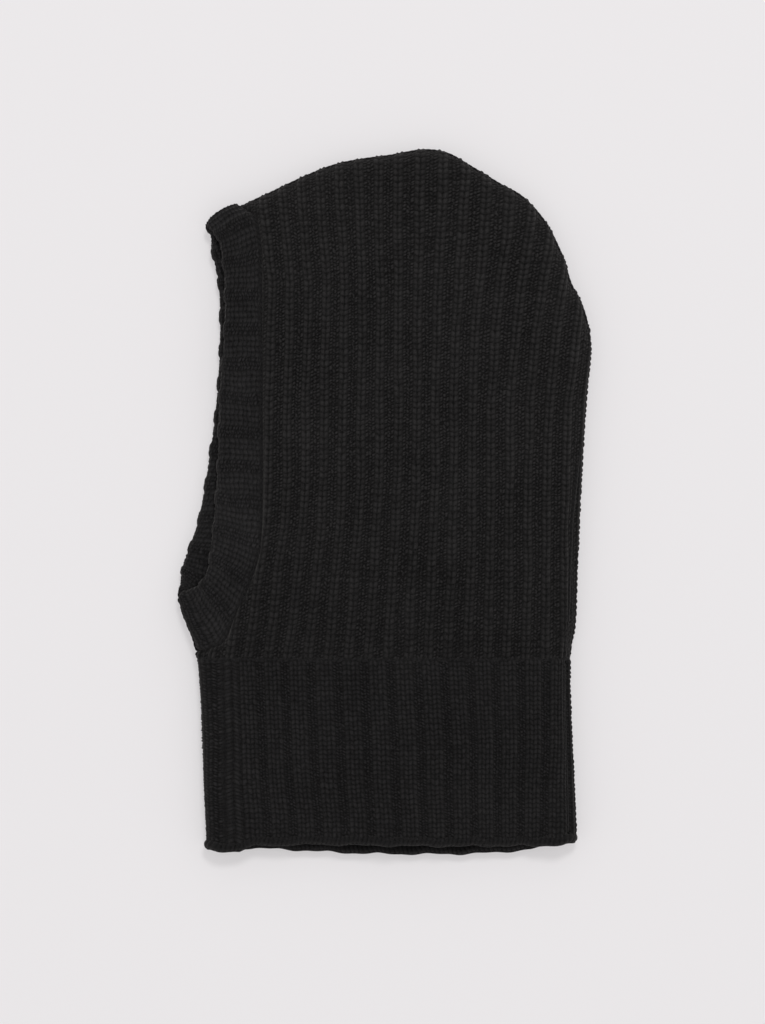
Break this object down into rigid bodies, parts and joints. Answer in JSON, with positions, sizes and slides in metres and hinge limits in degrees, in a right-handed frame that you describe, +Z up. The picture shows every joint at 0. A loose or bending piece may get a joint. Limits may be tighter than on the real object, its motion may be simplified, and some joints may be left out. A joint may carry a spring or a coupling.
{
  "type": "balaclava",
  "caption": "Chunky ribbed knit balaclava lying flat on its side: hood, doubled face band, long ribbed neck and cast-off hem.",
  "frame": {"origin": "on the surface it lies on, at the centre of its box", "axes": "+Z up, away from the surface; +X from the crown to the neck mouth; the face opening looks to -Y and the back of the head lies to +Y"},
  "size_m": [0.423, 0.2476, 0.03],
  "materials": {
    "hood_knit": "matt chunky wool, fisherman rib",
    "neck_knit": "matt chunky wool, two by two rib",
    "band_knit": "matt chunky wool, two by one rib folded double",
    "seam_yarn": "matt wool yarn",
    "label_cloth": "plain woven satin tape",
    "label_thread": "fine sewing thread"
  },
  "bodies": {
    "root": {"hood_left_panel": "hood_knit", "hood_right_panel": "hood_knit", "neck_rib": "neck_knit", "hem_edge": "neck_knit", "face_band": "band_knit", "crown_seam": "seam_yarn", "hood_back_seam": "seam_yarn", "neck_back_seam": "seam_yarn", "neck_linking": "seam_yarn", "band_linking": "seam_yarn", "band_join": "seam_yarn", "care_label": "label_cloth", "label_stitches": "label_thread"}
  },
  "joints": []
}
